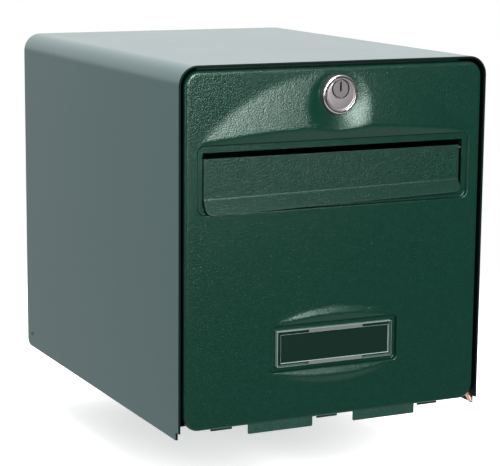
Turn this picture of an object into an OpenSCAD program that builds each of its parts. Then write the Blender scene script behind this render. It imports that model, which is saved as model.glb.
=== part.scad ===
/* [Casing] */
// Overall width of the casing, side to side
case_width = 280; // [260:1:330]
// Height of the casing above the lower edge of its side walls
case_height = 300; // [280:1:360]
// Depth of the casing from its front rim to the wall
case_depth = 365; // [200:1:430]
// Outer radius of the two upper corners of the casing
case_corner = 16; // [12:0.5:20]
// Thickness of the casing sheet
sheet = 1; // [0.8:0.1:1.2]
// Height of the floor's underside above the side walls' lower edge
floor_height = 8.9; // [8.9:0.1:9.4]

/* [Wall holes] */
// Distance between the wall holes, side to side
wall_hole_x = 200; // [120:1:220]
// Distance between the wall holes, up and down
wall_hole_z = 200; // [120:1:220]
// Diameter of the wall holes
wall_hole = 7; // [5:0.5:9]

/* [Door] */
// Gap between the casing and each side of the door
door_side_gap = 4.6; // [4:0.1:6]
// Height of the door's lower edge above the side walls' lower edge
door_bottom = 7; // [6.6:0.1:7.4]
// Gap between the casing's top and the door's top edge
door_top_gap = 4.2; // [3.6:0.1:6]
// Radius of the door's four corners
door_corner = 13; // [10:0.5:16]
// Radius of the door's rolled front edge
door_roll = 3; // [2:0.5:4]
// Depth of the door's turned back sides
door_flange = 12; // [8:0.5:12]

/* [Door hinge] */
// Diameter of the door's hinge rod
rod_diameter = 4; // [3.4:0.1:4.2]
// Distance of the hinge rod behind the door's face
rod_depth = 5; // [4.9:0.1:5.4]
// Width of each stop tongue under the door
tongue_width = 59; // [40:1:64]
// Distance of each stop tongue's middle from the door's middle
tongue_middle = 48.5; // [42:0.5:50]
// Reach of the stop tongues below the side walls' lower edge
tongue_drop = 1; // [0:0.1:1.2]
// Width of each casing lug on the hinge rod
lug_width = 19; // [12:1:20]
// Distance of the two outer casing lugs from the middle
lug_offset = 97; // [90:1:104]

/* [Mail flap] */
// Width of the mail flap
flap_width = 234.8; // [180:0.2:236]
// Height of the flap's top edge
flap_top = 226; // [222:0.5:227]
// Height of the flap's hinge rod
flap_axis = 223.5; // [219:0.5:224]
// Height of the fold above the finger lip
flap_fold = 193.5; // [192:0.5:196]
// Height of the finger lip's lower edge
flap_lip = 181.5; // [180:0.5:185]

/* [Lock] */
// Height of the lock's middle
lock_height = 273; // [268:0.5:273]
// Outer diameter of the lock's bright bezel
bezel_diameter = 31.5; // [29:0.5:34]
// Diameter of the turning plug's visible collar
plug_collar = 15; // [13:0.5:16]
// Reach of the cam from the plug's axis
cam_reach = 18.5; // [14:0.5:18.5]

/* [Name window] */
// Height of the name window's middle
window_height = 67.3; // [60:0.5:76]
// Width of the clear cover
window_width = 108; // [80:1:112]
// Height of the clear cover
window_tall = 30; // [24:0.5:34]

/* [Hidden] */
$fn = 64;

// Height of the wall pattern's middle above the side walls' lower edge
mount_height = case_height / 2;
half_width = case_width / 2;
inner_half = half_width - sheet;
tiny = 0.01;

// Casing details
hem_depth = 10;
notch_depth = 6;
notch_height = 6.5;
rear_corner = 8;
back_flange = 20;
rivet_from_back = 12;
rivet_height = 12.6;
rivet_shank = 3.2;
rivet_head = 6;
rivet_crown = 1.2;
floor_thick = 1.2;
floor_front = 12;
floor_flange = 15;
lip_bottom = 2;
header_front = door_flange + 0.5;
header_thick = 1.2;
header_bottom = case_height - 12;
header_half = half_width - case_corner - 4;
header_flange = 14;

// Door details
door_half = half_width - door_side_gap;
door_top = case_height - door_top_gap;
door_tall = door_top - door_bottom;
low_roll = 1.6;
rod_radius = rod_diameter / 2;
rod_height = 9.5;
ring_wall = 1.14;
ring_run = 0.06;
leg_middle = door_half - 0.9;
leg_outward = 22;
leg_forward = 12;
leg_length = 8.6;
bend_swell = 0.08;
leaf_top = 30;
leaf_thick = 1.2;
leaf_ring = 15;
leaf_ring_offset = 18;

// Flap recess in the door
frame_half = 124;
frame_top = 237;
frame_bottom = 181.7;
frame_corner = 6;
frame_depth = 2.5;
slot_half = flap_width / 2 + 1.6;
slot_top = 231;
slot_bottom = 188;
flap_face = 3.6;
flap_thick = 1.2;
flap_axis_depth = 6.6;
flap_rod_radius = 1.2;
flap_ring_wall = 1.05;
flap_ring_run = 0.05;
flap_ring_width = 20;
flap_ring_offset = flap_width / 2 - 22.4;
lip_flare = 6.6;
lip_corner = 6;
lip_rise = 6;
bracket_gap = 1.6;
bracket_thick = 1.2;

// Raised shape round the lock: a shallow cap cut off below by a sloping plane
dome_base = 164.2;
dome_peak = 292;
dome_rise = 10;
dome_middle = dome_peak - dome_base;
dome_foot = 237.6;
dome_slope = 28;
dish_inner = 16.9;
dish_outer = 36;
dish_rise = 5.15;

// Raised shapes above and below the name window
brow_base = 150;
brow_rise = 28;
brow_peak = 31;
brow_foot = 19.8;
brow_slope = 18.4;

// Lock details
plug_offset = 4.6;
plug_height = lock_height + plug_offset;
plug_radius = 6;
plug_run = 0.05;
barrel_radius = 12;
barrel_end = 14.6;
disc_radius = 13;
disc_front = -3.2;
bezel_front = -3.7;
bezel_round = 1.3;
collar_front = -3.3;
collar_back = -2.2;
neck_radius = 3;
gasket_thick = 0.5;
nut_flats = 30;
nut_thick = 4;
cam_front = 15;
cam_thick = 2;
cam_half = 6;
cam_hub = 9;
cam_nut_thick = 3;
cam_nut_flats = 10;
key_width = 1.6;
key_tall = 8;
key_rise = 1.8;
key_deep = 10;

// Name window details
pocket_half = 58.2;
pocket_tall = 38.5;
pocket_depth = 3;
pocket_corner = 4;
cover_front = -1.2;
cover_wall = 1;
cover_rim = 3.2;
cover_step = 0.8;
clip_width = 50;
clip_tall = 2.6;
clip_thick = 0.8;

// Moves the working frame (front rim, walls' lower edge) to the wall pattern's middle
module at_wall() {
    translate([0, -case_depth, -mount_height]) children();
}

// A bar across the mailbox, from its profile drawn as depth and height
module across(width) {
    translate([-width / 2, 0, 0]) rotate([90, 0, 90]) linear_extrude(height = width) children();
}

// A plate facing the front, from its outline drawn as width and height
module facing(front, thick) {
    translate([0, front + thick, 0]) rotate([90, 0, 0]) linear_extrude(height = thick) children();
}

// A round bar running from front to back
module pin_back(x, z, front, back, radius) {
    translate([x, front, z]) rotate([-90, 0, 0]) cylinder(h = back - front, r = radius);
}

// A round bar running across
module pin_across(x0, x1, y, z, radius) {
    translate([x0, y, z]) rotate([0, 90, 0]) cylinder(h = x1 - x0, r = radius);
}

// A rectangle with round corners, from its half width and its two heights
module round_plate(half, low, high, corner) {
    translate([0, (low + high) / 2]) union() {
        square([2 * half, high - low - 2 * corner], center = true);
        square([2 * (half - corner), high - low], center = true);
        for (sx = [-1, 1]) for (sz = [-1, 1])
            translate([sx * (half - corner), sz * ((high - low) / 2 - corner)]) circle(r = corner);
    }
}

// The casing's outline: straight walls, round upper corners
module arch(inset, low) {
    half = half_width - inset;
    corner = case_corner - inset;
    top = case_height - inset;
    translate([-half, low]) square([2 * half, top - corner - low]);
    translate([-half + corner, low]) square([2 * (half - corner), top - low]);
    for (sx = [-1, 1]) translate([sx * (half - corner), top - corner]) circle(r = corner);
}

module casing_shell() {
    color([0.10, 0.26, 0.22]) at_wall() difference() {
        union() {
            facing(0, case_depth) difference() {
                arch(0, 0);
                arch(sheet, -1);
            }
            facing(0, hem_depth) difference() {
                arch(sheet, notch_height);
                arch(2 * sheet, -1);
            }
        }
        // Small notches at the lower front corners
        translate([-half_width - 1, -1, -1]) cube([case_width + 2, notch_depth + 1, notch_height + 1]);
        // Rounded lower rear corners
        across(case_width + 2) difference() {
            translate([case_depth - rear_corner, -1]) square([rear_corner + 1, rear_corner + 1]);
            translate([case_depth - rear_corner, rear_corner]) circle(r = rear_corner);
        }
        rivet_holes();
    }
}

module rivet_holes() {
    y = case_depth - rivet_from_back;
    pin_across(-half_width - 1, half_width + 1, y, rivet_height, rivet_shank / 2);
}

module back_panel() {
    color([0.09, 0.24, 0.20]) at_wall() difference() {
        union() {
            facing(case_depth - sheet, sheet) arch(sheet, floor_height);
            facing(case_depth - back_flange, back_flange) difference() {
                arch(sheet, floor_height);
                arch(2 * sheet, -1);
            }
        }
        for (sx = [-1, 1]) for (sz = [-1, 1])
            pin_back(sx * wall_hole_x / 2, mount_height + sz * wall_hole_z / 2,
                     case_depth - 2, case_depth + 1, wall_hole / 2);
        rivet_holes();
    }
}

module floor_panel() {
    inner_back = case_depth - sheet;
    color([0.09, 0.24, 0.20]) at_wall() difference() {
        union() {
            translate([-inner_half, floor_front, floor_height])
                cube([2 * inner_half, case_depth - back_flange - floor_front - 0.3, floor_thick]);
            translate([-inner_half + sheet, floor_front, floor_height])
                cube([2 * (inner_half - sheet), inner_back - floor_front, floor_thick]);
            // Side flanges turned up against the casing
            for (sx = [-1, 1])
                translate([sx * (inner_half - sheet / 2) - sheet / 2, floor_front + 2, floor_height])
                    cube([sheet, case_depth - back_flange - floor_front - 2.3, floor_flange]);
            // Three lugs curled round the hinge rod, each with a lip under it
            for (x = [-lug_offset, 0, lug_offset]) {
                pin_across(x - lug_width / 2, x + lug_width / 2, rod_depth, rod_height,
                           rod_radius + ring_wall + ring_run);
                translate([x - lug_width / 2, rod_depth + rod_radius, floor_height])
                    cube([lug_width, floor_front + 1 - rod_depth - rod_radius, floor_thick]);
                translate([x - lug_width / 2, floor_front - 0.6, lip_bottom])
                    cube([lug_width, 1.2, floor_height - lip_bottom + 0.5]);
            }
        }
        pin_across(-half_width, half_width, rod_depth, rod_height, rod_radius);
    }
}

module header_rail() {
    top = case_height - sheet;
    color([0.09, 0.24, 0.20]) at_wall() {
        translate([-header_half, header_front, header_bottom])
            cube([2 * header_half, header_thick, top - header_bottom]);
        translate([-header_half, header_front, top - header_thick])
            cube([2 * header_half, header_flange, header_thick]);
    }
}

module casing_rivets() {
    color([0.55, 0.57, 0.58]) at_wall() for (sx = [-1, 1]) {
        translate([sx * half_width, case_depth - rivet_from_back, rivet_height])
            rotate([0, sx * 90, 0]) rotate_extrude() union() {
                translate([0, -2 * sheet - 0.8]) square([rivet_shank / 2, 2 * sheet + 1]);
                translate([0, -2 * sheet - 0.8]) square([rivet_shank / 2 + 0.7, 0.8]);
                intersection() {
                    translate([0, rivet_crown - 4.35]) circle(r = 4.35);
                    square([rivet_head / 2, rivet_crown + 1]);
                }
            }
    }
}

module hinge_rod() {
    color([0.78, 0.55, 0.46]) at_wall() {
        pin_across(-half_width + 2, leg_middle, rod_depth, rod_height, rod_radius);
        translate([leg_middle, rod_depth, rod_height]) sphere(r = rod_radius + bend_swell);
        translate([leg_middle, rod_depth, rod_height]) rotate([-leg_forward, 0, 0])
            rotate([0, -leg_outward, 0]) mirror([0, 0, 1]) cylinder(h = leg_length, r = rod_radius);
    }
}

// The door's rolled edge and turned back side, as width outward and depth
module edge_profile(depth) {
    intersection() {
        translate([-door_roll, door_roll]) difference() {
            circle(r = door_roll);
            circle(r = door_roll - sheet);
        }
        translate([-door_roll, 0]) square([door_roll, door_roll]);
    }
    translate([-sheet, door_roll]) square([sheet, depth - door_roll]);
}

// The door's lower edge: a plain sheet edge with a rounded front, as width outward and depth
module low_profile() {
    intersection() {
        translate([-low_roll, low_roll]) circle(r = low_roll);
        translate([-low_roll, 0]) square([low_roll, sheet]);
    }
    translate([-door_roll, 0]) square([door_roll - low_roll, sheet]);
}

// A quarter turn of a profile round the door's corner, standing outside away from the origin
module corner_turn() {
    rotate([90, 0, 0]) mirror([0, 0, 1]) rotate_extrude(angle = 90) translate([door_corner, 0]) children();
}

module door_edges() {
    run_z = door_tall - 2 * door_corner;
    run_x = 2 * (door_half - door_corner);
    low = door_bottom + door_corner;
    for (sx = [0, 1]) mirror([sx, 0, 0]) {
        translate([door_half, 0, low]) linear_extrude(height = run_z) edge_profile(door_flange);
        translate([door_half - door_corner, 0, low + run_z]) corner_turn() edge_profile(door_flange);
        translate([door_half - door_corner, 0, low]) mirror([0, 0, 1]) corner_turn() low_profile();
    }
    translate([-run_x / 2, 0, door_top]) mirror([0, 0, 1]) rotate([0, 90, 0])
        linear_extrude(height = run_x) edge_profile(door_flange);
    translate([-run_x / 2, 0, door_bottom]) rotate([0, 90, 0]) linear_extrude(height = run_x) low_profile();
}

// A shallow cap standing forward of the door, cut off below by a plane that slopes up and forward
module cap(base, rise, middle, foot, slope, inset) {
    radius = (base * base + rise * rise) / (2 * rise);
    intersection() {
        translate([0, radius - rise, middle]) sphere(r = radius - inset, $fn = 600);
        translate([-base, -rise - 1, foot - 2]) cube([2 * base, rise + 1.5 + inset, middle + base - foot + 3]);
        translate([0, 0, foot]) rotate([slope, 0, 0]) translate([-base, inset, -4])
            cube([2 * base, rise + base, 2 * base]);
    }
}

module dome(inset) {
    cap(dome_base, dome_rise, dome_middle, dome_foot, dome_slope, inset);
}

// The raised shapes above and below the name window
module brows(inset) {
    for (flip = [0, 1]) translate([0, 0, window_height]) mirror([0, 0, flip])
        cap(brow_base, brow_rise, brow_peak - brow_base, brow_foot, brow_slope, inset);
}

// The dish round the lock: its hollow, or with a thickness its sheet
module dish(thick) {
    translate([0, 0, lock_height]) rotate([-90, 0, 0]) rotate_extrude() polygon([
        [0, thick], [dish_inner, thick], [dish_outer, thick - dish_rise],
        [dish_outer, -dish_rise - 1], [0, -dish_rise - 1]
    ]);
}

module door_sheet() {
    mid = window_height;
    door_edges();
    facing(0, sheet) round_plate(door_half - door_roll + tiny, door_bottom + door_roll - tiny,
                                 door_top - door_roll + tiny, door_corner - door_roll);
    facing(0, frame_depth + sheet) round_plate(frame_half + sheet, frame_bottom - sheet,
                                               frame_top + sheet, frame_corner + sheet);
    facing(0, pocket_depth + sheet) round_plate(pocket_half + sheet, mid - pocket_tall / 2 - sheet,
                                                mid + pocket_tall / 2 + sheet, pocket_corner + sheet);
}

module door_skin() {
    mid = window_height;
    color([0.11, 0.28, 0.23]) at_wall() difference() {
        union() {
            difference() {
                union() {
                    door_sheet();
                    dome(0);
                    brows(0);
                }
                difference() {
                    union() {
                        dome(sheet);
                        brows(sheet);
                    }
                    // The sheet walls of the two recesses stay whole
                    facing(-1, 4) round_plate(frame_half + sheet, frame_bottom - sheet,
                                              frame_top + sheet, frame_corner + sheet);
                    facing(-1, 4) round_plate(pocket_half + sheet, mid - pocket_tall / 2 - sheet,
                                              mid + pocket_tall / 2 + sheet, pocket_corner + sheet);
                }
            }
            intersection() {
                dish(sheet);
                union() {
                    dome(0);
                    facing(0, sheet) translate([0, lock_height]) circle(r = dish_inner + 1);
                }
            }
        }
        dish(0);
        facing(-1, frame_depth + 1) round_plate(frame_half, frame_bottom, frame_top, frame_corner);
        facing(-1, pocket_depth + 1) round_plate(pocket_half, mid - pocket_tall / 2,
                                                 mid + pocket_tall / 2, pocket_corner);
        translate([-slot_half, -1, slot_bottom]) cube([2 * slot_half, frame_depth + 3, slot_top - slot_bottom]);
        pin_back(0, lock_height, -1, 2, barrel_radius + 0.1);
    }
}

// A hinge leaf on the door: a stop tongue below, two rings curled round the hinge rod
module hinge_leaf(middle) {
    color([0.11, 0.28, 0.23]) at_wall() difference() {
        union() {
            facing(sheet, leaf_thick) translate([middle - tongue_width / 2, -tongue_drop])
                square([tongue_width, leaf_top + tongue_drop]);
            for (side = [-1, 1]) {
                x = middle + side * leaf_ring_offset;
                pin_across(x - leaf_ring / 2, x + leaf_ring / 2, rod_depth, rod_height,
                           rod_radius + ring_wall + ring_run);
            }
        }
        pin_across(-half_width, half_width, rod_depth, rod_height, rod_radius + ring_run);
    }
}

module hinge_leaf_left() {
    hinge_leaf(-tongue_middle);
}

module hinge_leaf_right() {
    hinge_leaf(tongue_middle);
}

module mail_flap() {
    run = flap_fold - flap_lip;
    length = sqrt(run * run + lip_flare * lip_flare);
    fold_angle = atan(lip_flare / run);
    end_y = flap_face - lip_flare;
    back = flap_face + flap_thick;
    corner_x = flap_width / 2 - lip_corner;
    color([0.12, 0.30, 0.24]) at_wall() difference() {
        union() {
            across(flap_width) polygon([
                [flap_face, flap_top], [flap_face, flap_fold], [end_y, flap_lip],
                [end_y + flap_thick * run / length, flap_lip - flap_thick * lip_flare / length],
                [back, flap_fold - flap_thick * tan(fold_angle / 2)], [back, flap_top]
            ]);
            for (side = [-1, 0, 1]) {
                x = side * flap_ring_offset;
                pin_across(x - flap_ring_width / 2, x + flap_ring_width / 2, flap_axis_depth, flap_axis,
                           flap_rod_radius + flap_ring_run + flap_ring_wall);
            }
        }
        pin_across(-half_width, half_width, flap_axis_depth, flap_axis, flap_rod_radius + flap_ring_run);
        // The finger lip's lower edge rises towards its right end
        facing(-20, 40) polygon([
            [-flap_width / 2 - 1, flap_lip - 3], [flap_width / 2 + 1, flap_lip - 3],
            [flap_width / 2 + 1, flap_lip + lip_rise], [-flap_width / 2 - 1, flap_lip - 0.3]
        ]);
        // Round lower corners of the finger lip
        for (side = [0, 1]) mirror([side, 0, 0]) facing(-20, 40) difference() {
            corner_z = flap_lip + lip_corner + lip_rise * (1 - side);
            translate([corner_x, corner_z - lip_corner - 3]) square([lip_corner + 1, lip_corner + 3]);
            translate([corner_x, corner_z]) circle(r = lip_corner);
        }
    }
}

module flap_rod() {
    reach = slot_half + bracket_gap + 2 * bracket_thick;
    color([0.60, 0.62, 0.63]) at_wall()
        pin_across(-reach, reach, flap_axis_depth, flap_axis, flap_rod_radius);
}

// An angle on the door's inside that carries one end of the flap's rod
module flap_bracket(side) {
    front = frame_depth + sheet;
    low = flap_axis - 5;
    near = slot_half + bracket_gap;
    color([0.60, 0.62, 0.63]) at_wall() mirror([side, 0, 0]) difference() {
        union() {
            translate([near, front, low]) cube([bracket_thick, 6.6, 10]);
            translate([near, front, low]) cube([frame_half + sheet - near, bracket_thick, 10]);
        }
        pin_across(-half_width, half_width, flap_axis_depth, flap_axis, flap_rod_radius);
    }
}

module flap_bracket_left() {
    flap_bracket(1);
}

module flap_bracket_right() {
    flap_bracket(0);
}

module lock_gasket() {
    color([0.03, 0.03, 0.03]) at_wall() difference() {
        pin_back(0, lock_height, -gasket_thick, 0, bezel_diameter / 2 + 0.8);
        pin_back(0, lock_height, -1, 1, barrel_radius);
    }
}

module lock_housing() {
    color([0.70, 0.70, 0.70]) at_wall() difference() {
        union() {
            pin_back(0, lock_height, disc_front, -gasket_thick, disc_radius);
            pin_back(0, lock_height, -gasket_thick, barrel_end, barrel_radius);
        }
        pin_back(0, plug_height, disc_front - 1, barrel_end + 1, plug_radius + plug_run);
        pin_back(0, plug_height, disc_front - 1, collar_back, plug_collar / 2 + plug_run);
    }
}

module lock_bezel() {
    outer = bezel_diameter / 2;
    color([0.85, 0.85, 0.86]) at_wall() translate([0, 0, lock_height]) rotate([-90, 0, 0])
        rotate_extrude() union() {
            translate([disc_radius, bezel_front]) square([outer - bezel_round - disc_radius,
                                                          -gasket_thick - bezel_front]);
            translate([disc_radius, bezel_front + bezel_round])
                square([outer - disc_radius, -gasket_thick - bezel_front - bezel_round]);
            translate([outer - bezel_round, bezel_front + bezel_round]) circle(r = bezel_round);
        }
}

module lock_nut() {
    color([0.62, 0.62, 0.63]) at_wall() difference() {
        translate([0, sheet, lock_height]) rotate([-90, 0, 0])
            cylinder(h = nut_thick, d = nut_flats / cos(30), $fn = 6);
        pin_back(0, lock_height, 0, sheet + nut_thick + 1, barrel_radius);
    }
}

module lock_plug() {
    color([0.78, 0.78, 0.79]) at_wall() difference() {
        union() {
            pin_back(0, plug_height, collar_front, collar_back - plug_run, plug_collar / 2);
            pin_back(0, plug_height, collar_front, barrel_end + 0.1, plug_radius);
            pin_back(0, plug_height, barrel_end, cam_front + cam_thick + cam_nut_thick + 0.6, neck_radius);
        }
        translate([-key_width / 2, collar_front - 1, plug_height + key_rise - key_tall / 2])
            cube([key_width, key_deep + 1, key_tall]);
    }
}

module lock_cam() {
    color([0.66, 0.66, 0.64]) at_wall() facing(cam_front, cam_thick) translate([0, plug_height]) difference() {
        union() {
            circle(r = cam_hub);
            translate([0, -cam_half]) square([cam_reach - cam_half, 2 * cam_half]);
            translate([cam_reach - cam_half, 0]) circle(r = cam_half);
        }
        circle(r = neck_radius);
    }
}

module cam_nut() {
    front = cam_front + cam_thick;
    color([0.62, 0.62, 0.63]) at_wall() difference() {
        translate([0, front, plug_height]) rotate([-90, 0, 0])
            cylinder(h = cam_nut_thick, d = cam_nut_flats / cos(30), $fn = 6);
        pin_back(0, plug_height, front - 1, front + cam_nut_thick + 1, neck_radius);
    }
}

module window_cover() {
    half = window_width / 2;
    low = window_height - window_tall / 2;
    high = window_height + window_tall / 2;
    color([0.75, 0.80, 0.80, 0.35]) at_wall() difference() {
        facing(cover_front, pocket_depth - cover_front) round_plate(half, low, high, 1.5);
        facing(cover_front - 1, 1 + cover_step) round_plate(half - cover_rim, low + cover_rim,
                                                            high - cover_rim, 1);
        facing(cover_front + cover_step + cover_wall, pocket_depth) round_plate(
            half - cover_wall, low + cover_wall, high - cover_wall, 1);
    }
}

// A glossy latch strip on the cover's rim
module window_clip(side) {
    edge = window_height + side * (window_tall / 2 - cover_rim / 2);
    color([0.70, 0.74, 0.74, 0.6]) at_wall() facing(cover_front - clip_thick, clip_thick)
        translate([-clip_width / 2, edge - clip_tall / 2]) square([clip_width, clip_tall]);
}

module window_clip_upper() {
    window_clip(1);
}

module window_clip_lower() {
    window_clip(-1);
}

casing_shell();
back_panel();
floor_panel();
header_rail();
casing_rivets();
hinge_rod();
door_skin();
hinge_leaf_left();
hinge_leaf_right();
mail_flap();
flap_rod();
flap_bracket_left();
flap_bracket_right();
lock_gasket();
lock_housing();
lock_bezel();
lock_nut();
lock_plug();
lock_cam();
cam_nut();
window_cover();
window_clip_upper();
window_clip_lower();
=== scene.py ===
"""Looks of a wall mounted mailbox: pressed door, folded casing, flap, lock, name window and studio."""

import logging
import math
from dataclasses import dataclass
from enum import Enum
from typing import Callable, Sequence

import bmesh
import bpy
from mathutils import Matrix, Vector
from mathutils.kdtree import KDTree


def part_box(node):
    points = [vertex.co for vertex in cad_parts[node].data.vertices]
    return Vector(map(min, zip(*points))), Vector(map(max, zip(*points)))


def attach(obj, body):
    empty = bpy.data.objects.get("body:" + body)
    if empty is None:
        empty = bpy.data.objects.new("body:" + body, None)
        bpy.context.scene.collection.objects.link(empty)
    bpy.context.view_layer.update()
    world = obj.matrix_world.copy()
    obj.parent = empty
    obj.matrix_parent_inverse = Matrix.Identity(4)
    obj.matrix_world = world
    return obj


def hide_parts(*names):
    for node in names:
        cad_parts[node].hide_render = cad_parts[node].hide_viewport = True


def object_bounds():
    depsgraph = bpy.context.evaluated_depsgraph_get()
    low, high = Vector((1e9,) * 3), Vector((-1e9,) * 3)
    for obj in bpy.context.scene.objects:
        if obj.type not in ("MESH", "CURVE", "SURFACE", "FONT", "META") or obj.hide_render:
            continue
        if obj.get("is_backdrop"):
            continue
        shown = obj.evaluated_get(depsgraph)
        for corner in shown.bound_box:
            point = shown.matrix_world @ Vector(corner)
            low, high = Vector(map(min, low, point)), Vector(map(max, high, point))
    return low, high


MM = 0.001
NUDGE = 1e-5
WELD = 1e-6
QUARTER = math.radians(90)
LOG = logging.getLogger("mailbox")

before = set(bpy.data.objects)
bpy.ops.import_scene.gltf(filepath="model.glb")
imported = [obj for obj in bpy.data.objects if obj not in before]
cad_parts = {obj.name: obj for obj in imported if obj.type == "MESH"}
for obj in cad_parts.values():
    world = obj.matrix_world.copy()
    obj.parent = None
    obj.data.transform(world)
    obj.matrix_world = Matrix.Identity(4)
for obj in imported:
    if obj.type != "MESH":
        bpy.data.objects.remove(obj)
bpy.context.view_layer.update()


class Body(Enum):
    """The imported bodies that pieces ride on."""

    CASING = "casing"
    DOOR = "door"
    FLAP = "flap"
    LOCK = "lock"


class Axis(Enum):
    """The axes that pieces are drawn round, as unit vectors of the row frame."""

    X = (1.0, 0.0, 0.0)
    Y = (0.0, 1.0, 0.0)


# ---------------------------------------------------------------- shader arithmetic


class Sock:
    """A shader socket that takes part in arithmetic, each operation making one Math node."""

    def __init__(self, board: "Board", out: bpy.types.NodeSocket) -> None:
        """Wrap an output socket of a board."""
        self.board = board
        self.out = out

    def _math(self, kind: str, other: "Sock | float") -> "Sock":
        """Return the value of a Math node over this socket and another operand."""
        return self.board.value("ShaderNodeMath", {"operation": kind}, at_0=self, at_1=other)

    def __add__(self, other: "Sock | float") -> "Sock":
        """Return self + other."""
        return self._math("ADD", other)

    def __mul__(self, other: "Sock | float") -> "Sock":
        """Return self * other."""
        return self._math("MULTIPLY", other)

    def __sub__(self, other: "Sock | float") -> "Sock":
        """Return self - other."""
        return self._math("SUBTRACT", other)

    def __radd__(self, other: float) -> "Sock":
        """Return other + self."""
        return self + other

    def __rmul__(self, other: float) -> "Sock":
        """Return other * self."""
        return self * other

    def __rsub__(self, other: float) -> "Sock":
        """Return other - self."""
        return self * -1.0 + other

    def __pow__(self, other: float) -> "Sock":
        """Return self raised to other."""
        return self._math("POWER", other)

    def clamp(self, low: float = 0.0, high: float = 1.0) -> "Sock":
        """Return the value held between two limits."""
        return self._math("MAXIMUM", low)._math("MINIMUM", high)

    def step(self, low: float, high: float) -> "Sock":
        """Return a smooth step from 0 at low to 1 at high."""
        return self.board.value("ShaderNodeMapRange", {"interpolation_type": "SMOOTHSTEP"}, "Result",
                                Value=self, From_Min=low, From_Max=high)


class Board:
    """A node tree being wired, a material's or the world's."""

    def __init__(self, tree: bpy.types.NodeTree) -> None:
        """Take up a node tree."""
        self.tree = tree

    def feed(self, slot: bpy.types.NodeSocket, value: "Sock | float | Sequence[float]") -> None:
        """Link a value to a socket or set it there; a colour gets its fourth number."""
        if isinstance(value, Sock):
            self.tree.links.new(value.out, slot)
        elif slot.type == "RGBA":
            slot.default_value = (*value, 1.0)
        else:
            slot.default_value = value

    def node(self, kind: str, settings: dict[str, str | bool] | None = None,
             **sockets: "Sock | float | Sequence[float]") -> bpy.types.Node:
        """Make a node, set its settings first, and then set or link its sockets.

        Args:
            kind: the node's type name.
            settings: the node's own settings, such as a Math node's operation.
            sockets: a value for each socket, by its name with underscores for spaces, or by its
                number as at_0, at_1 and so on.

        Returns:
            The new node.
        """
        made = self.tree.nodes.new(kind)
        for key, value in (settings or {}).items():
            setattr(made, key, value)
        for key, value in sockets.items():
            self.feed(made.inputs[int(key[3:]) if key.startswith("at_") else key.replace("_", " ")], value)
        return made

    def value(self, kind: str, settings: dict[str, str | bool] | None = None, out: int | str = 0,
              **sockets: "Sock | float | Sequence[float]") -> Sock:
        """Make a node as above and return one of its outputs."""
        return Sock(self, self.node(kind, settings, **sockets).outputs[out])

    def parts(self, space: str = "Object") -> list[Sock]:
        """Return a texture coordinate as three numbers."""
        split = self.node("ShaderNodeSeparateXYZ", Vector=self.value("ShaderNodeTexCoord", out=space))
        return [Sock(self, out) for out in split.outputs]


class Shade(Board):
    """One material being wired round its Principled shader."""

    def __init__(self, name: str) -> None:
        """Start a material with a Principled shader alone."""
        self.material = bpy.data.materials.new(name)
        self.material.use_nodes = True
        super().__init__(self.material.node_tree)
        self.shader = self.tree.nodes["Principled BSDF"]

    def noise(self, scale: float, detail: float = 3.0, rough: float = 0.55,
              stretch: Sequence[float] = (1.0, 1.0, 1.0)) -> Sock:
        """Return a noise value on Object coordinates.

        Args:
            scale: features per metre.
            detail: octaves.
            rough: weight of the finer octaves.
            stretch: scale of each axis before the noise.

        Returns:
            A value near 0 to 1.
        """
        place = self.value("ShaderNodeMapping", Vector=self.value("ShaderNodeTexCoord", out="Object"),
                           Scale=stretch)
        return self.value("ShaderNodeTexNoise", out="Fac", Vector=place, Scale=scale, Detail=detail,
                          Roughness=rough)

    def cells(self, scale: float) -> Sock:
        """Return the random brightness of cells on Object coordinates."""
        place = self.value("ShaderNodeTexCoord", out="Object")
        return self.value("ShaderNodeSeparateColor",
                          Color=self.value("ShaderNodeTexVoronoi", out="Color", Vector=place, Scale=scale))

    def mix(self, amount: "Sock | float", low: "Sock | Sequence[float]",
            high: "Sock | Sequence[float]") -> Sock:
        """Return a colour mixed from low to high by an amount."""
        return self.value("ShaderNodeMix", {"data_type": "RGBA", "clamp_factor": True}, 2,
                          at_0=amount, at_6=low, at_7=high)

    def bump(self, height: Sock, depth: float, strength: float = 1.0) -> None:
        """Put a height on the shader's normal.

        Args:
            height: the relief, 0 to 1.
            depth: its depth in metres.
            strength: how much of it shows.
        """
        self.put(Normal=self.value("ShaderNodeBump", Height=height, Distance=depth, Strength=strength))

    def put(self, **inputs: "Sock | float | Sequence[float]") -> bpy.types.Material:
        """Set or link the shader's inputs and return the material."""
        for key, value in inputs.items():
            self.feed(self.shader.inputs[key.replace("_", " ")], value)
        return self.material


# ---------------------------------------------------------------- finishes


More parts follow.
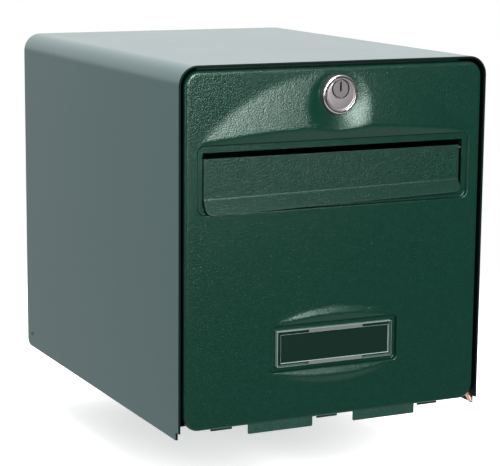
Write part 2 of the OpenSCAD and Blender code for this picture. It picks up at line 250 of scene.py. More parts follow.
@dataclass(frozen=True)
class PowderCoat:
    """Baked powder paint on sheet steel, with a fine grain and a little dust in random specks."""

    name: str
    tint: tuple[float, float, float]
    deep: tuple[float, float, float]
    grain: float
    grain_depth: float
    rough: float
    gloss: float = 0.35
    sheen: tuple[float, float, float] = (0.80, 1.0, 0.90)
    coat: float = 0.0
    coat_rough: float = 0.14

    def make(self) -> bpy.types.Material:
        """Return the material."""
        shade = Shade(self.name)
        fine = shade.noise(self.grain, 2.0, 0.6)
        mid = shade.noise(self.grain * 0.23, 2.0, 0.5)
        broad = shade.noise(9.0, 3.0, 0.5)
        speckle = (fine * 0.7 + mid * 0.3).step(0.36, 0.66)
        cloud = shade.mix(broad.step(0.3, 0.75) * 0.35, self.tint, [c * 0.86 for c in self.tint])
        colour = shade.mix(1.0 - speckle, cloud, self.deep)
        dust = shade.noise(60.0, 5.0, 0.65).step(0.62, 0.82)
        colour = shade.mix(dust * 0.03, colour, (0.30, 0.32, 0.28))
        shade.bump(fine * 0.75 + mid * 0.4, self.grain_depth, 1.0)
        rough = (self.rough + broad * 0.06 + fine * 0.10 - 0.06).clamp(0.05, 1.0)
        return shade.put(Base_Color=colour, Roughness=rough, Specular_IOR_Level=self.gloss,
                         Specular_Tint=self.sheen, Coat_Weight=self.coat, Coat_Roughness=self.coat_rough)


@dataclass(frozen=True)
class Plated:
    """Bare or plated metal with brushing, spangle and faint tarnish."""

    name: str
    tint: tuple[float, float, float]
    dull: tuple[float, float, float]
    rough: float
    brush: tuple[float, float, float] = (1.0, 1.0, 1.0)
    brush_scale: float = 900.0
    brush_depth: float = 0.00002
    spangle: float = 0.0

    def make(self) -> bpy.types.Material:
        """Return the material."""
        shade = Shade(self.name)
        lines = shade.noise(self.brush_scale, 4.0, 0.6, self.brush)
        stain = shade.noise(120.0, 4.0, 0.6).step(0.45, 0.8)
        colour = shade.mix(stain * 0.6 + lines * 0.2, self.tint, self.dull)
        rough = self.rough + lines * 0.12 + stain * 0.10
        if self.spangle > 0.0:
            flower = shade.cells(self.spangle)
            colour = shade.mix(flower * 0.5, colour, self.dull)
            rough = rough + flower * 0.15
        shade.bump(lines, self.brush_depth, 0.8)
        return shade.put(Base_Color=colour, Metallic=1.0, Roughness=rough.clamp(0.03, 1.0))


@dataclass(frozen=True)
class Rubber:
    """Black moulded gasket rubber with a matt bloom."""

    name: str = "gasket rubber"

    def make(self) -> bpy.types.Material:
        """Return the material."""
        shade = Shade(self.name)
        bloom = shade.noise(300.0, 4.0, 0.6)
        colour = shade.mix(bloom.step(0.4, 0.8), (0.008, 0.009, 0.009), (0.03, 0.032, 0.032))
        shade.bump(shade.noise(2500.0, 2.0), 0.00003, 0.7)
        return shade.put(Base_Color=colour, Roughness=(0.55 + bloom * 0.3).clamp())


@dataclass(frozen=True)
class ClearPlastic:
    """Clear moulded plastic that lets the paint behind show, with faint scuffs and haze."""

    name: str
    tint: tuple[float, float, float]
    body: float
    rough: float = 0.08

    def make(self) -> bpy.types.Material:
        """Return the material."""
        shade = Shade(self.name)
        scuff = shade.noise(240.0, 5.0, 0.7, (0.3, 1.0, 2.0)).step(0.56, 0.82)
        haze = shade.noise(25.0, 2.0)
        shade.bump(scuff, 0.000004, 0.4)
        colour = shade.mix(haze, self.tint, [c * 0.8 for c in self.tint])
        return shade.put(Base_Color=colour, Roughness=(self.rough + scuff * 0.12 + haze * 0.02).clamp(),
                         Alpha=(self.body * (0.85 + haze * 0.3) + scuff * 0.03).clamp(), Coat_Weight=0.4,
                         Coat_Roughness=0.05)


class Finishes:
    """Every finish on the mailbox, made once."""

    def __init__(self) -> None:
        """Make the materials."""
        self.door = PowderCoat("green grained coat", (0.0040, 0.032, 0.0210), (0.0028, 0.024, 0.0155),
                               880.0, 0.00028, 0.18, 0.43).make()
        self.flap = PowderCoat("green flap coat", (0.0040, 0.031, 0.0205), (0.0026, 0.022, 0.0145), 820.0,
                               0.00046, 0.23, 0.33).make()
        # The tongue coat is painted light: a lighter copy of the door green, standing for the leaves catching
        # more light than the door face.
        self.tongue = PowderCoat("green tongue lit coat", (0.0085, 0.047, 0.034), (0.005, 0.032, 0.023),
                                 820.0, 0.00050, 0.34, 0.38).make()
        self.case = PowderCoat("green smooth coat", (0.0175, 0.087, 0.091), (0.0145, 0.075, 0.078), 900.0,
                               0.00003, 0.30, 0.56, (0.97, 1.0, 0.96), 0.40, 0.16).make()
        # The hem coat is painted shade: a near-black copy of the casing green for the front edge and the fold
        # just inside it, where the gap to the door lies in shade.
        self.hem = PowderCoat("green hem painted shade", (0.0024, 0.010, 0.0085), (0.0018, 0.008, 0.007), 900.0,
                              0.00003, 0.45, 0.10).make()
        # The inner coat is painted shade: a darker, duller copy of the casing green for the inside faces and
        # the parts inside the box.
        self.inner = PowderCoat("green inner shaded coat", (0.0075, 0.034, 0.025), (0.0055, 0.026, 0.019),
                                1000.0, 0.00008, 0.46, 0.24).make()
        self.nickel = Plated("bright nickel", (0.80, 0.79, 0.77), (0.55, 0.54, 0.53), 0.07, (1, 1, 1),
                             700.0, 0.000004).make()
        self.satin = Plated("satin nickel", (0.27, 0.25, 0.255), (0.19, 0.175, 0.18), 0.32,
                            (1.0, 1.0, 3.0), 700.0, 0.000012).make()
        self.plug = Plated("plug nickel", (0.21, 0.20, 0.205), (0.14, 0.135, 0.14), 0.30, (3.0, 1.0, 1.0),
                           700.0, 0.000008).make()
        self.zinc = Plated("bright zinc", (0.60, 0.61, 0.60), (0.40, 0.42, 0.43), 0.26, (1, 1, 1), 500.0,
                           0.00002, 220.0).make()
        self.copper = Plated("coppered wire", (0.83, 0.53, 0.42), (0.42, 0.20, 0.14), 0.30,
                             (0.05, 1.0, 1.0), 1600.0, 0.00003).make()
        self.rivet = Plated("painted rivet", (0.10, 0.16, 0.14), (0.05, 0.09, 0.08), 0.35).make()
        self.rubber = Rubber().make()
        self.clear = ClearPlastic("clear cover", (0.012, 0.032, 0.025), 0.34).make()
        # The cover's edge material is a painted highlight: a light, nearly opaque tint on the rim's side
        # faces that stands for the glint along the clear edges.
        self.clear_edge_highlight = ClearPlastic("clear cover edge highlight", (0.42, 0.56, 0.50), 0.80, 0.20).make()
        self.clip = ClearPlastic("glossy clip", (0.17, 0.185, 0.18), 0.86, 0.16).make()


# ---------------------------------------------------------------- modelling bench


def row(x: float, y: float, z: float) -> Vector:
    """Return a point given in mm from the casing's front rim and walls' lower edge, in the row frame."""
    low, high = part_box("casing_shell")
    return Vector(((low[0] + high[0]) / 2 + x * MM, low[1] + y * MM, low[2] + z * MM))


class Bench:
    """Models one piece with Blender's own mesh operators."""

    def __init__(self, name: str) -> None:
        """Start a piece; nothing else stays selected."""
        self.name = name
        self.obj: bpy.types.Object | None = None
        if bpy.context.object and bpy.context.object.mode != "OBJECT":
            bpy.ops.object.mode_set(mode="OBJECT")
        bpy.ops.object.select_all(action="DESELECT")

    def _take(self) -> "Bench":
        """Name the new primitive, settle its transform and open it for editing, all edges selected."""
        self.obj = bpy.context.object
        self.obj.name = self.name
        self.obj.data.name = self.name
        bpy.ops.object.transform_apply(location=True, rotation=True, scale=True)
        bpy.ops.object.mode_set(mode="EDIT")
        bpy.ops.mesh.select_mode(type="EDGE")
        bpy.ops.mesh.select_all(action="SELECT")
        return self

    def sheet(self, cells: tuple[int, int], place: Callable[[int, int], Vector]) -> "Bench":
        """Add an upright grid and lay it in shape.

        Args:
            cells: how many cells it has across and upward.
            place: takes a point's column and line and returns its place in metres.

        Returns:
            This bench.
        """
        bpy.ops.mesh.primitive_grid_add(x_subdivisions=cells[0], y_subdivisions=cells[1], size=1.0,
                                        location=(0, 0, 0), rotation=(QUARTER, 0, 0))
        self._take()
        self.move_picked(lambda co: place(round((co.x + 0.5) * cells[0]), round((co.z + 0.5) * cells[1])))
        return self

    def cube(self, low: Vector, high: Vector) -> "Bench":
        """Add a block between two corners."""
        bpy.ops.mesh.primitive_cube_add(size=1.0, location=(low + high) / 2)
        bpy.context.object.scale = high - low
        return self._take()

    def cylinder(self, start: Vector, length: float, radius: float, sides: int) -> "Bench":
        """Add a cylinder from a start point along X."""
        bpy.ops.mesh.primitive_cylinder_add(vertices=sides, radius=radius, depth=length,
                                            location=start + Vector((length / 2, 0, 0)),
                                            rotation=(0, QUARTER, 0))
        return self._take()

    def ring(self, centre: Vector, axis: Axis, radius: float, sides: int) -> "Bench":
        """Add an open circle of edges round an axis."""
        turn = (0, QUARTER, 0) if axis is Axis.X else (QUARTER, 0, 0)
        bpy.ops.mesh.primitive_circle_add(vertices=sides, radius=radius, fill_type="NOTHING", location=centre,
                                          rotation=turn)
        return self._take()

    def _mark(self, kind: str, test: Callable[[bmesh.types.BMEdge | bmesh.types.BMFace], bool]) -> None:
        """Select the edges or the faces that pass a test, and nothing else."""
        bpy.ops.mesh.select_mode(type=kind)
        bpy.ops.mesh.select_all(action="DESELECT")
        mesh = bmesh.from_edit_mesh(self.obj.data)
        mesh.normal_update()
        for item in mesh.edges if kind == "EDGE" else mesh.faces:
            if test(item):
                item.select_set(True)
        mesh.select_flush_mode()
        bmesh.update_edit_mesh(self.obj.data)

    def pick_edges(self, test: Callable[[Vector], bool]) -> None:
        """Select the edges whose two ends and middle pass a test on their place in metres."""
        self._mark("EDGE", lambda edge: test(sum((v.co for v in edge.verts), Vector()) / 2)
                   and all(test(v.co) for v in edge.verts))

    def pick_faces(self, test: Callable[[Vector], bool]) -> None:
        """Select the faces whose middle passes a test."""
        self._mark("FACE", lambda face: test(face.calc_center_median()))

    def pick_front(self) -> None:
        """Select the faces that face the front."""
        self._mark("FACE", lambda face: face.normal.y < -0.95)

    def pick_open(self, test: Callable[[Vector], bool]) -> None:
        """Select the open boundary edges whose middle passes a test."""
        self._mark("EDGE", lambda edge: edge.is_boundary and test((edge.verts[0].co + edge.verts[1].co) / 2))

    def move_picked(self, place: Callable[[Vector], Vector]) -> None:
        """Put each selected vertex where a rule says."""
        mesh = bmesh.from_edit_mesh(self.obj.data)
        for vert in mesh.verts:
            if vert.select:
                vert.co = place(vert.co.copy())
        bmesh.update_edit_mesh(self.obj.data)

    def picked(self) -> list[Vector]:
        """Return where the selected vertices are."""
        mesh = bmesh.from_edit_mesh(self.obj.data)
        return [vert.co.copy() for vert in mesh.verts if vert.select]

    def extrude(self, shift: Vector) -> None:
        """Extrude what is selected and move it."""
        bpy.ops.mesh.extrude_region_move(TRANSFORM_OT_translate={"value": tuple(shift)})

    def bevel(self, width: float, segments: int) -> None:
        """Round the selected edges."""
        bpy.ops.mesh.bevel(offset=width, offset_type="OFFSET", segments=segments, profile=0.5,
                           affect="EDGES", clamp_overlap=True)

    def modify(self, kind: str, **values: float | int | str | bool) -> None:
        """Add a modifier with its settings and apply it."""
        bpy.ops.object.mode_set(mode="OBJECT")
        bpy.context.view_layer.objects.active = self.obj
        added = self.obj.modifiers.new(kind.lower(), kind)
        for key, value in values.items():
            setattr(added, key, value)
        bpy.ops.object.modifier_apply(modifier=added.name)
        bpy.ops.object.mode_set(mode="EDIT")

    def soften(self, width: float, segments: int = 2, angle: float = 35.0) -> None:
        """Round every edge sharper than an angle in degrees."""
        self.modify("BEVEL", width=width, segments=segments, limit_method="ANGLE",
                    angle_limit=math.radians(angle), use_clamp_overlap=True)

    def outward(self) -> None:
        """Weld doubled points and turn all normals outward."""
        bpy.ops.mesh.select_all(action="SELECT")
        bpy.ops.mesh.remove_doubles(threshold=WELD)
        bpy.ops.mesh.normals_make_consistent(inside=False)

    def face_front(self) -> None:
        """Turn an open sheet so that its faces look to the front."""
        mesh = bmesh.from_edit_mesh(self.obj.data)
        mesh.normal_update()
        if sum(face.normal.y * face.calc_area() for face in mesh.faces) > 0:
            bpy.ops.mesh.select_all(action="SELECT")
            bpy.ops.mesh.flip_normals()

    def close(self) -> bpy.types.Object:
        """Leave edit mode and return the piece."""
        bpy.ops.object.mode_set(mode="OBJECT")
        return self.obj

    def done(self, body: Body, material: bpy.types.Material, slot: str, *nodes: str,
             smooth: float = 32.0, even: bool = True) -> bpy.types.Object:
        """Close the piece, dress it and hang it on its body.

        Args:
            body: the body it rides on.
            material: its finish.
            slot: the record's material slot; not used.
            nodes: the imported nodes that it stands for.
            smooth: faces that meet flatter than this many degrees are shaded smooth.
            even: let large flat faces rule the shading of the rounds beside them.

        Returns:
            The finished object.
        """
        if bpy.context.object.mode != "OBJECT":
            bpy.ops.object.mode_set(mode="OBJECT")
        bpy.ops.object.select_all(action="DESELECT")
        self.obj.select_set(True)
        bpy.context.view_layer.objects.active = self.obj
        bpy.ops.object.transform_apply(location=True, rotation=True, scale=True)
        bpy.ops.object.shade_smooth_by_angle(angle=math.radians(smooth))
        if even:
            level = self.obj.modifiers.new("even", "WEIGHTED_NORMAL")
            level.weight = 50
            level.keep_sharp = True
            bpy.ops.object.modifier_apply(modifier=level.name)
        self.obj.data.materials.clear()
        self.obj.data.materials.append(material)
        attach(self.obj, body.value)
        if nodes:
            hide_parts(*nodes)
        LOG.info("%s: %d faces on %s", self.obj.name, len(self.obj.data.polygons), body.value)
        return self.obj


def join(pieces: Sequence[bpy.types.Object], name: str) -> bpy.types.Object:
    """Join loose objects into the first one."""
    if bpy.context.object and bpy.context.object.mode != "OBJECT":
        bpy.ops.object.mode_set(mode="OBJECT")
    bpy.ops.object.select_all(action="DESELECT")
    for piece in pieces:
        piece.select_set(True)
    bpy.context.view_layer.objects.active = pieces[0]
    bpy.ops.object.join()
    pieces[0].name = name
    return pieces[0]


def tube(name: str, start: Vector, length: float, outer: float, wall: float, sides: int) -> bpy.types.Object:
    """Model an open tube along X: a cylinder whose ends are inset, opened and bridged."""
    bench = Bench(name).cylinder(start, length, outer, sides)
    bpy.ops.mesh.select_mode(type="FACE")
    bpy.ops.mesh.select_all(action="DESELECT")
    mesh = bmesh.from_edit_mesh(bench.obj.data)
    for face in mesh.faces:
        face.select_set(len(face.verts) > 4)
    bmesh.update_edit_mesh(bench.obj.data)
    bpy.ops.mesh.inset(thickness=wall, use_individual=True)
    bpy.ops.mesh.select_mode(type="EDGE")
    mesh = bmesh.from_edit_mesh(bench.obj.data)
    caps = [face for face in mesh.faces if len(face.verts) > 4]
    rims = [edge for face in caps for edge in face.edges]
    bpy.ops.mesh.select_all(action="DESELECT")
    bmesh.ops.delete(mesh, geom=caps, context="FACES_ONLY")
    for edge in rims:
        edge.select_set(True)
    bmesh.update_edit_mesh(bench.obj.data)
    bpy.ops.mesh.bridge_edge_loops()
    bench.outward()
    return bench.close()


def carve(target: bpy.types.Object, tool: bpy.types.Object) -> None:
    """Cut one solid out of another and throw the tool away."""
    bpy.ops.object.select_all(action="DESELECT")
    target.select_set(True)
    bpy.context.view_layer.objects.active = target
    notch = target.modifiers.new("notch", "BOOLEAN")
    notch.operation = "DIFFERENCE"
    notch.solver = "EXACT"
    notch.object = tool
    bpy.ops.object.modifier_apply(modifier=notch.name)
    bpy.data.objects.remove(tool)


def smooth_step(value: float, low: float, high: float) -> float:
    """Return 0 below low, 1 above high and an even curve between."""
    part = min(1.0, max(0.0, (value - low) / (high - low)))
    return part * part * (3 - 2 * part)


def soft_min(a: float, b: float, blend: float) -> float:
    """Return the lesser of two values with a rounded change over."""
    part = max(blend - abs(a - b), 0.0) / blend
    return min(a, b) - part * part * blend / 4


def soft_max(a: float, b: float, blend: float) -> float:
    """Return the greater of two values with a rounded change over."""
    return -soft_min(-a, -b, blend)


def outline_distance(x: float, z: float, half: float, tall: float, corner: float) -> float:
    """Return the distance from a round-cornered rectangle's outline, negative inside."""
    qx = abs(x) - (half - corner)
    qz = abs(z) - (tall - corner)
    return math.hypot(max(qx, 0.0), max(qz, 0.0)) + min(max(qx, qz), 0.0) - corner


# ---------------------------------------------------------------- door


@dataclass(frozen=True)
class Swell:
    """A shallow round cap raised in the door, cut off by a sloping facet (mm, degrees)."""

    middle: float
    base: float
    rise: float
    slope: float
    start: float
    blend: float
    foot: float = 0.35

    def height(self, x: float, z: float) -> float:
        """Return how far the cap stands forward at a point."""
        radius = (self.base * self.base + self.rise * self.rise) / (2 * self.rise)
        inside = radius * radius - x * x - (z - self.middle) * (z - self.middle)
        ball = math.sqrt(inside) - (radius - self.rise) if inside > 0 else -self.rise
        facet = math.tan(math.radians(self.slope)) * (z - self.start)
        return soft_max(soft_min(ball, facet, self.blend), 0.0, self.foot)


@dataclass
class PressedDoor:
    """The stamped door: lines of a fine grid, its relief, the rolled edge and the turned flange (mm)."""

    half: float = 135.4
    low: float = 7.0
    top: float = 295.8
    corner: float = 13.0
    roll: float = 3.0
    low_roll: float = 1.6
    flange: float = 12.0
    frame_half: float = 124.0
    frame_low: float = 181.7
    frame_top: float = 237.0
    frame_corner: float = 6.0
    frame_depth: float = 2.5
    slot_half: float = 119.0
    slot_low: float = 188.0
    slot_top: float = 231.0
    pocket_half: float = 58.9
    pocket_half_tall: float = 19.25
    pocket_corner: float = 4.0
    pocket_depth: float = 3.0
    window_z: float = 67.3
    lock_z: float = 273.0
    wall_start: float = -0.35
    wall_run: float = 1.3
    dome: Swell = Swell(127.8, 164.2, 10.0, 28.0, 237.6, 1.5)
    brow: Swell = Swell(-119.0, 150.0, 28.0, 18.4, 19.8, 1.2)
    dish: float = 16.9
    dish_slope: float = 0.27
    dish_blend: float = 1.6
    lock_hole: float = 12.6
    slack: float = 1e-4
    steps: tuple[float, ...] = (0.12, 0.25, 0.4, 0.55, 0.7, 0.85, 1.0)

    def lines_x(self) -> list[float]:
        """Return the grid's upright lines, close together where the relief turns sharply."""
        return spread([(-132.4, 1.8), (-126, 0.5), (-117, 2.3), (-60.5, 0.5), (-53, 2.3), (53, 0.5),
                       (60.5, 2.3), (117, 0.5), (126, 1.8), (132.4, 0)])

    def lines_z(self) -> list[float]:
        """Return the grid's level lines, close together where the relief turns sharply."""
        return spread([(8.6, 1.8), (20, 2.0), (45.5, 0.5), (52.5, 2.4), (81.5, 0.5), (89, 1.6), (102, 3.2),
                       (179, 0.5), (190, 4.0), (230, 0.5), (239, 1.0), (252, 1.5), (292.8, 0)])

    def relief(self, x: float, z: float) -> float:
        """Return how far the door's face stands forward of its plane at a point, in mm.

        Args:
            x: distance from the door's middle.
            z: height above the side walls' lower edge.

        Returns:
            The relief, negative in the recesses.
        """
        reach = math.hypot(x, z - self.lock_z)
        dish = max(0.0, (reach - self.dish) * self.dish_slope)
        swell = soft_min(self.dome.height(x, z), dish, self.dish_blend)
        height = max(0.0, swell) + max(0.0, self.brow.height(x, abs(z - self.window_z)))
        frame_gap = outline_distance(x, z - (self.frame_low + self.frame_top) / 2, self.frame_half,
                                     (self.frame_top - self.frame_low) / 2, self.frame_corner)
        pocket_gap = outline_distance(x, z - self.window_z, self.pocket_half, self.pocket_half_tall,
                                      self.pocket_corner)
        height = self.sink(height, frame_gap, self.frame_depth)
        return self.sink(height, pocket_gap, self.pocket_depth)

    def sink(self, height: float, gap: float, depth: float) -> float:
        """Return the height lowered to a recess floor inside its outline."""
        part = smooth_step(-gap, self.wall_start, self.wall_start + self.wall_run)
        return height + (-depth - height) * part

    def edge_target(self, x: float, z: float) -> tuple[float, float]:
        """Return the outer edge point that belongs to a point of the flat face's border."""
        arm = self.half - self.corner
        high = self.top - self.corner
        deep = self.low + self.corner
        if abs(x) > arm - self.slack and (z > high - self.slack or z < deep + self.slack):
            middle = high if z > high - self.slack else deep
            run = Vector((abs(x) - arm, z - middle)).normalized() * self.corner
            return math.copysign(arm + run.x, x), middle + run.y
        if abs(x) > arm:
            return math.copysign(self.half, x), z
        return x, (self.top if z > self.window_z else self.low)

    def round_corner(self, x: float, z: float) -> tuple[float, float]:
        """Return a grid point drawn in so that the face's square corners become round."""
        arm = self.half - self.corner
        high = self.top - self.corner
        deep = self.low + self.corner
        if abs(x) <= arm or deep <= z <= high:
            return x, z
        wide = self.half - self.roll - arm
        tall = (self.top - self.roll - high) if z > high else (deep - self.low - self.low_roll)
        u = (abs(x) - arm) / wide
        v = (z - high) / tall if z > high else (deep - z) / tall
        reach = max(u, v)
        length = math.hypot(u, v)
        if length < WELD:
            return x, z
        u, v = u / length * reach, v / length * reach
        return math.copysign(arm + u * wide, x), (high + v * tall if z > high else deep - v * tall)

    def build(self, looks: Finishes) -> None:
        """Model the skin and dress it."""
        across, upward = self.lines_x(), self.lines_z()
        origin = row(0, 0, 0)

        def flat(column: int, line: int) -> Vector:
            """Return the place of a grid point on the door's plane."""
            x, z = self.round_corner(across[column], upward[line])
            return Vector((x, 0.0, z)) * MM + origin

        bench = Bench("door_pressing").sheet((len(across) - 1, len(upward) - 1), flat)
        bench.pick_faces(lambda co: self.in_hole((co - origin) / MM))
        bpy.ops.mesh.delete(type="FACE")
        bpy.ops.mesh.select_all(action="SELECT")
        bench.move_picked(lambda co: co - Vector((0, self.relief_at(co, origin), 0)))
        self.roll_edge(bench, origin)
        bench.outward()
        bench.face_front()
        bench.modify("SOLIDIFY", thickness=MM, offset=-1.0, use_even_offset=True)
        bench.done(Body.DOOR, looks.door, "green_coat", "door_skin", smooth=40.0, even=False)

    def relief_at(self, co: Vector, origin: Vector) -> float:
        """Return the relief in metres at a point in the row frame."""
        place = (co - origin) / MM
        return self.relief(place.x, place.z) * MM

    def in_hole(self, place: Vector) -> bool:
        """Return whether a point lies in the letter slot or the lock's hole."""
        slot = abs(place.x) < self.slot_half and self.slot_low < place.z < self.slot_top
        return slot or math.hypot(place.x, place.z - self.lock_z) < self.lock_hole

    def roll_edge(self, bench: Bench, origin: Vector) -> None:
        """Roll the border back and turn the flange along the sides and top."""
        inner = self.half - self.roll

        def on_border(co: Vector) -> bool:
            """Return whether an open edge is the sheet's own border and not a hole's."""
            place = (co - origin) / MM
            return outline_distance(place.x, place.z - (self.low + self.top) / 2, inner + 0.05,
                                    (self.top - self.low) / 2 - 1.5, 9.0) > -2.2

        bench.pick_open(on_border)
        rings = [(at, at) for at in bench.picked()]
        for step in self.steps:
            turn = QUARTER * step
            bench.extrude(Vector((0, NUDGE, 0)))
            tree = KDTree(len(rings))
            for index, (now, _) in enumerate(rings):
                tree.insert(now, index)
            tree.balance()
            found: list[tuple[Vector, Vector]] = []

            def place_ring(co: Vector) -> Vector:
                """Return the ring point's place on the roll."""
                first = rings[tree.find(co)[1]][1]
                flat_x, flat_z = (first.x - origin.x) / MM, (first.z - origin.z) / MM
                edge = self.edge_target(flat_x, flat_z)
                radius = math.hypot(edge[0] - flat_x, edge[1] - flat_z)
                part = math.sin(turn)
                x = flat_x + (edge[0] - flat_x) * part
                z = flat_z + (edge[1] - flat_z) * part
                made = Vector((x, radius * (1 - math.cos(turn)), z)) * MM + origin
                found.append((made, first))
                return made

            bench.move_picked(place_ring)
            rings = found
        deep = self.low + self.corner
        bench.pick_open(lambda co: ((co - origin) / MM).y > 2.5 and ((co - origin) / MM).z > deep - 0.1)
        bench.extrude(Vector((0, (self.flange - self.roll) * MM, 0)))


def spread(stops: Sequence[tuple[float, float]]) -> list[float]:
    """Return values from the first stop to the last, each stretch with its own spacing."""
    values = [stops[0][0]]
    for (start, gap), (end, _) in zip(stops, stops[1:]):
        count = max(1, round((end - start) / gap))
        values += [start + (end - start) * i / count for i in range(1, count + 1)]
    return values


# ---------------------------------------------------------------- flap


@dataclass
class MailFlap:
    """The flap: an upright band, a soft fold and a finger lip, with three rings for its rod (mm).

    The fold and the lip's lower edge both rise towards the right end.
    """

    half: float = 117.4
    face: float = 3.6
    thick: float = 1.2
    top: float = 226.0
    fold: float = 193.5
    lip: float = 181.5
    flare: float = 6.6
    corner: float = 6.0
    fold_rise: float = 3.6
    lip_rise: float = 6.0
    axis_y: float = 6.6
    axis_z: float = 223.5
    ring_x: tuple[float, float, float] = (-95.0, 0.0, 95.0)
    ring_run: float = 20.0
    ring_outer: float = 2.3
    ring_wall: float = 1.05

    def build(self, looks: Finishes) -> None:
        """Model the flap and dress it."""
        arm, low = self.half - self.corner, self.lip + self.corner
        across = spread([(-self.half, 0.75), (-arm, 9.0), (arm, 0.75), (self.half, 0)])
        upward = spread([(self.lip, 0.75), (low, 1.2), (self.fold - 2, 0.4), (self.fold + 2, 6.1),
                         (self.top, 0)])
        origin = row(0, 0, 0)
        run = self.fold - self.lip

        def shape(column: int, line: int) -> Vector:
            """Return the place of a grid point on the flap's front."""
            x, z = across[column], upward[line]
            if abs(x) > arm and z < low:
                u, v = (abs(x) - arm) / self.corner, (low - z) / self.corner
                length = math.hypot(u, v)
                reach = max(u, v) / length
                x = math.copysign(arm + u * reach * self.corner, x)
                z = low - v * reach * self.corner
            y = self.face - soft_max((self.fold - z) / run * self.flare, 0.0, 0.5)
            along = (x + self.half) / (2 * self.half)
            if z > self.fold:
                rise = self.fold_rise * (self.top - z) / (self.top - self.fold)
            else:
                rise = self.lip_rise + (self.fold_rise - self.lip_rise) * (z - self.lip) / run
            return Vector((x, y, z + rise * along)) * MM + origin

        bench = Bench("flap_pressing").sheet((len(across) - 1, len(upward) - 1), shape)
        bench.outward()
        bench.face_front()
        bench.modify("SOLIDIFY", thickness=self.thick * MM, offset=-1.0, use_even_offset=True)
        bench.modify("BEVEL", width=0.42 * MM, segments=3, limit_method="ANGLE", angle_limit=math.radians(60))
        plate = bench.close()
        rings = [tube(f"flap_ring_{index}", row(x - self.ring_run / 2, self.axis_y, self.axis_z),
                      self.ring_run * MM, self.ring_outer * MM, self.ring_wall * MM, 24)
                 for index, x in enumerate(self.ring_x)]
        bench.obj = join([plate] + rings, "flap_pressing")
        bench.done(Body.FLAP, looks.flap, "green_coat", "mail_flap", smooth=35.0)


# ---------------------------------------------------------------- casing


@dataclass
class Casing:
    """The folded casing: side walls and top in one sheet, its front edge hemmed inward (mm)."""

    half: float = 140.0
    height: float = 300.0
    depth: float = 365.0
    corner: float = 16.0
    hem: float = 10.0
    notch_deep: float = 6.0
    notch_tall: float = 6.5
    rear_corner: float = 8.0
    turn_steps: int = 14

    def path(self) -> list[tuple[Vector, Vector]]:
        """Return points from the left wall's foot over the top to the right wall's, with outward normals."""
        levels = (0, 3, 6.5, 8, 12, 60, 140, 220, 270)
        points = [(Vector((-self.half, 0, z)), Vector((-1, 0, 0))) for z in levels]
        arm, high = self.half - self.corner, self.height - self.corner
        for index in range(self.turn_steps + 1):
            turn = QUARTER * index / self.turn_steps
            way = Vector((-math.cos(turn), 0, math.sin(turn)))
            points.append((Vector((-arm, 0, high)) + way * self.corner, way))
        points += [(Vector((x, 0, self.height)), Vector((0, 0, 1))) for x in (-80, -40)]
        right = [(Vector((-p.x, p.y, p.z)), Vector((-n.x, n.y, n.z))) for p, n in reversed(points)]
        return points + [(Vector((0, 0, self.height)), Vector((0, 0, 1)))] + right

    def profile(self) -> list[tuple[float, float]]:
        """Return the sheet's section as inset and depth, from the rear over the hem and back inside."""
        hem = [(1 - math.cos(math.radians(a)), 1 - math.sin(math.radians(a))) for a in range(0, 181, 20)]
        ys = (240.0, 120.0, 40.0, 12.0, 5.0)
        outer = [(0.0, self.depth - 0.3), (0.0, 356.0)] + [(0.0, y) for y in ys]
        inner = [(2.0, 5.0), (2.0, self.hem - 0.3), (1.85, self.hem), (1.1, self.hem + 0.1), (1.0, 12.0),
                 (1.0, 40.0), (1.0, 120.0), (1.0, 240.0), (1.0, 356.0), (1.0, self.depth - 0.3)]
        return outer + hem + inner + [(0.7, self.depth), (0.3, self.depth)]

    def build(self, looks: Finishes) -> None:
        """Model the folded sheet and dress it."""
        path, section = self.path(), self.profile()
        origin = row(0, 0, 0)

        def wrap(column: int, line: int) -> Vector:
            """Return the place of a grid point on the folded sheet."""
            point, way = path[column]
            inset, deep = section[line % len(section)]
            return (point - way * inset + Vector((0, deep, 0))) * MM + origin

        bench = Bench("casing_fold").sheet((len(path) - 1, len(section)), wrap)
        bpy.ops.mesh.remove_doubles(threshold=WELD)
        bench.pick_open(lambda co: co.x < 0)
        bpy.ops.mesh.edge_face_add()
        bench.pick_open(lambda co: co.x > 0)
        bpy.ops.mesh.edge_face_add()
        bench.outward()
        fold = bench.close()
        carve(fold, self.cutter())
        bench.done(Body.CASING, looks.case, "green_coat_smooth", "casing_shell", smooth=30.0)
        # Faces looking forward, and inward faces within the hem's depth of the front, take the near-black hem
        # coat: painted shade along the rim and in the gap to the door.
        fold.data.materials.append(looks.hem)
        fold.data.materials.append(looks.inner)
        for face in fold.data.polygons:
            inward = -face.normal.x * math.copysign(1.0, face.center.x) > 0.5 or face.normal.z < -0.5
            if face.normal.y < -0.25 or (inward and face.center.y < row(0, self.hem + 1, 0).y):
                face.material_index = 1
            # Other inward faces take the darker inner coat: painted shade inside the box.
            elif inward:
                face.material_index = 2

    def cutter(self) -> bpy.types.Object:
        """Return the block that cuts both front notches and rounds both lower rear corners."""
        wide = self.half + 5
        front = Bench("notch_cutter").cube(row(-wide, -2, -2),
                                           row(wide, self.notch_deep, self.notch_tall)).close()
        rear = Bench("corner_cutter").cylinder(row(-wide, self.depth - self.rear_corner, self.rear_corner),
                                              2 * wide * MM, self.rear_corner * MM, 48).close()
        block = Bench("corner_block").cube(row(-wide + 1, self.depth - self.rear_corner, -1),
                                           row(wide - 1, self.depth + 1, self.rear_corner)).close()
        carve(block, rear)
        return join([front, block], "casing_cutter")


# ---------------------------------------------------------------- turned pieces


